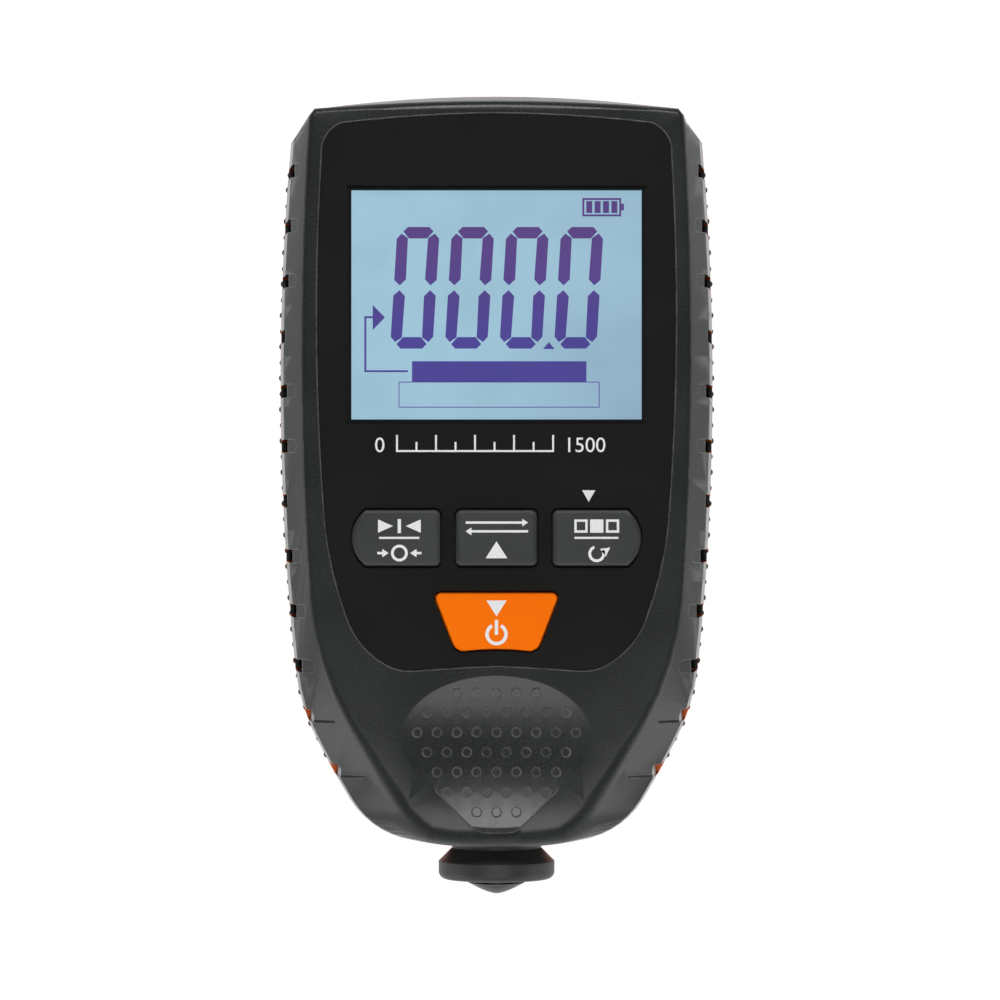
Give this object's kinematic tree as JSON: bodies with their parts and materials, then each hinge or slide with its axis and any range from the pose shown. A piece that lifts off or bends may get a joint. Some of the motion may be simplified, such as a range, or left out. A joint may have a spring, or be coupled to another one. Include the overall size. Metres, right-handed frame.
{
  "type": "coating thickness gauge",
  "caption": "Hand-held coating thickness gauge: bevelled, notched plastic case with a display, push keys, thumb rest, sliding battery door and spring-loaded probe.",
  "frame": {"origin": "middle of the bounding box at its lowest level, on the plane of the back", "axes": "+X to the gauge's right, +Y away from the probe, +Z out of the face"},
  "size_m": [0.064, 0.1164, 0.0281],
  "materials": {
    "case_grey": "fine moulded texture",
    "case_orange": "fine moulded texture",
    "grip_black": "soft, matte",
    "panel_black": "smooth, printed in white",
    "lens_clear": "clear, flush with the panel",
    "display_blue": "backlit liquid crystal",
    "guide_white": "milky",
    "frame_white": "moulded",
    "strip_pink": "layered contact rubber",
    "board_green": "solder mask",
    "chip_black": "moulded",
    "switch_black": "moulded",
    "plunger_ivory": "moulded",
    "key_grey": "satin",
    "key_orange": "satin",
    "collar_black": "satin",
    "guide_black": "moulded",
    "steel": "plain",
    "core_iron": "plain",
    "former_tan": "moulded",
    "copper": "enamelled wire",
    "lead_red": "insulated wire",
    "cell_wrap": "plain wrapped can",
    "plated_steel": "nickel-plated sheet and wire",
    "door_grey": "fine moulded texture"
  },
  "bodies": {
    "case": {"front_cover": "case_grey", "rear_case": "case_orange", "left_grip": "grip_black", "right_grip": "grip_black", "front_panel": "panel_black", "display_lens": "lens_clear", "lcd_glass": "display_blue", "light_guide": "guide_white", "lcd_frame": "frame_white", "contact_strip": "strip_pink", "main_board": "board_green", "controller_chip": "chip_black", "signal_chip": "chip_black", "board_screws": "steel", "zero_switch": "switch_black", "unit_switch": "switch_black", "mode_switch": "switch_black", "power_switch": "switch_black", "probe_guide": "guide_black", "probe_spring": "steel", "probe_lead": "lead_red", "left_cell": "cell_wrap", "right_cell": "cell_wrap", "left_spring": "plated_steel", "right_spring": "plated_steel", "bridge_contact": "plated_steel", "left_contact": "plated_steel", "right_contact": "plated_steel", "case_screws": "steel"},
    "zero_button": {"zero_key": "key_grey", "zero_plunger": "plunger_ivory"},
    "unit_button": {"unit_key": "key_grey", "unit_plunger": "plunger_ivory"},
    "mode_button": {"mode_key": "key_grey", "mode_plunger": "plunger_ivory"},
    "power_button": {"power_key": "key_orange", "power_plunger": "plunger_ivory"},
    "probe": {"probe_collar": "collar_black", "probe_tip": "steel", "probe_core": "core_iron", "coil_former": "former_tan", "coil_winding": "copper", "retaining_ring": "steel"},
    "door": {"battery_door": "door_grey"}
  },
  "joints": [
    {"name": "zero_press", "type": "slide", "parent": "case", "child": "zero_button", "axis": [0, 0, -1], "range_m": [0, 0.0006], "stiffness_N_per_m": 2000},
    {"name": "unit_press", "type": "slide", "parent": "case", "child": "unit_button", "axis": [0, 0, -1], "range_m": [0, 0.0006], "stiffness_N_per_m": 2000},
    {"name": "mode_press", "type": "slide", "parent": "case", "child": "mode_button", "axis": [0, 0, -1], "range_m": [0, 0.0006], "stiffness_N_per_m": 2000},
    {"name": "power_press", "type": "slide", "parent": "case", "child": "power_button", "axis": [0, 0, -1], "range_m": [0, 0.0006], "stiffness_N_per_m": 2000},
    {"name": "probe_press", "type": "slide", "parent": "case", "child": "probe", "axis": [0, 1, 0], "range_m": [0, 0.0015], "stiffness_N_per_m": 800, "deforming": ["probe_spring", "probe_lead"]},
    {"name": "door_slide", "type": "slide", "parent": "case", "child": "door", "axis": [0, 1, 0], "range_m": [0, 0.056]}
  ]
}
